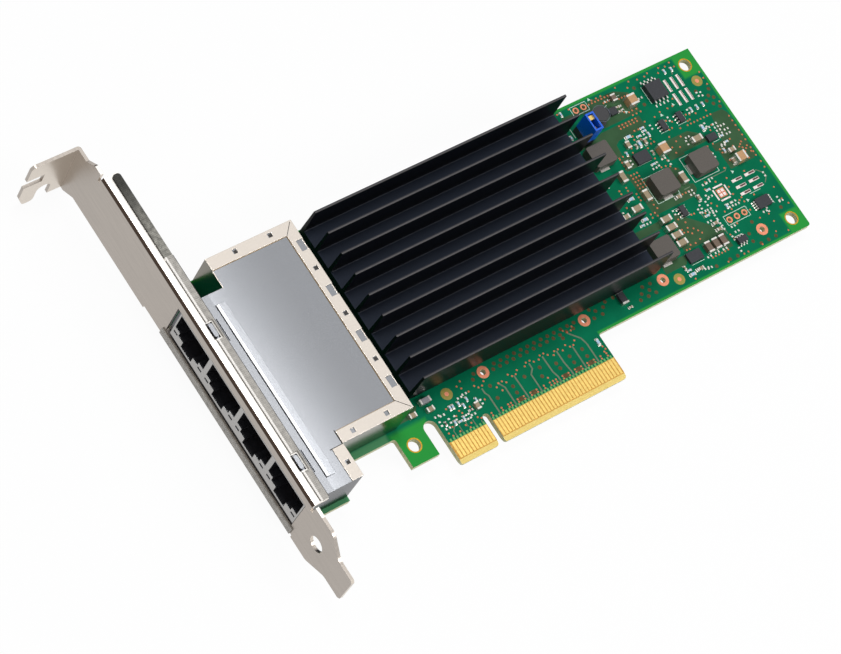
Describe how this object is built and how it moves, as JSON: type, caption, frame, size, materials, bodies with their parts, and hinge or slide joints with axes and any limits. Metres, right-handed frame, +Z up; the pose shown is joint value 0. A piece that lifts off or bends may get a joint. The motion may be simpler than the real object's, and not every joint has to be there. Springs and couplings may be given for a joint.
{
  "type": "network interface card",
  "caption": "Expansion card with a four-port shielded network jack behind a slot bracket, a finned heatsink over its chips and power parts at the tail.",
  "frame": {"origin": "centre line of the key notch, at the tips of the edge contacts, in the middle plane of the board", "axes": "+X from the bracket towards the tail, +Y from the edge contacts towards the board's far edge, +Z up from the component side"},
  "size_m": [0.1826, 0.12, 0.0213],
  "materials": {
    "board_laminate": "satin green solder mask",
    "contact_gold": "polished plating",
    "bracket_steel": "satin nickel plate",
    "can_steel": "satin plated sheet",
    "cover_steel": "bright tinned sheet",
    "gasket_cloth": "woven conductive cloth",
    "jack_plastic": "moulded black",
    "wire_gold": "plated spring wire",
    "tinned_metal": "tin plate",
    "black_aluminium": "black anodised",
    "chip_mould": "moulded epoxy",
    "thermal_compound": "soft pad",
    "ferrite_grey": "pressed powder",
    "jumper_blue": "moulded blue",
    "ceramic_tan": "fired ceramic",
    "ceramic_brown": "fired ceramic"
  },
  "bodies": {
    "root": {"circuit_board": "board_laminate", "edge_contacts": "contact_gold", "io_bracket": "bracket_steel", "shield_clips": "can_steel", "upper_gasket": "gasket_cloth", "jack_gasket": "gasket_cloth", "lower_gasket": "gasket_cloth", "jack_housing": "jack_plastic", "jack_front_shield": "can_steel", "jack_rear_shield": "cover_steel", "port_contacts_1": "wire_gold", "port_contacts_2": "wire_gold", "port_contacts_3": "wire_gold", "port_contacts_4": "wire_gold", "jack_solder_pins": "tinned_metal", "heatsink": "black_aluminium", "heatsink_screws": "tinned_metal", "controller_chip": "chip_mould", "bridge_chip": "chip_mould", "thermal_pads": "thermal_compound", "power_inductor_1": "ferrite_grey", "power_inductor_2": "ferrite_grey", "power_inductor_3": "ferrite_grey", "power_inductor_4": "ferrite_grey", "inductor_terminals": "tinned_metal", "drum_inductor": "ferrite_grey", "jumper_pins": "contact_gold", "jumper_header": "chip_mould", "jumper_cap": "jumper_blue", "jumper_contact": "contact_gold", "tall_capacitors": "ceramic_tan", "long_capacitors": "ceramic_tan", "brown_capacitors": "ceramic_brown", "small_brown_capacitor": "ceramic_brown", "front_capacitor": "ceramic_tan", "front_diode": "chip_mould", "small_capacitors": "ceramic_tan", "chip_terminals": "tinned_metal", "flash_chip": "chip_mould", "switch_chips": "chip_mould", "monitor_chip": "chip_mould", "chip_leads": "tinned_metal", "regulator_chips": "chip_mould"}
  },
  "joints": []
}
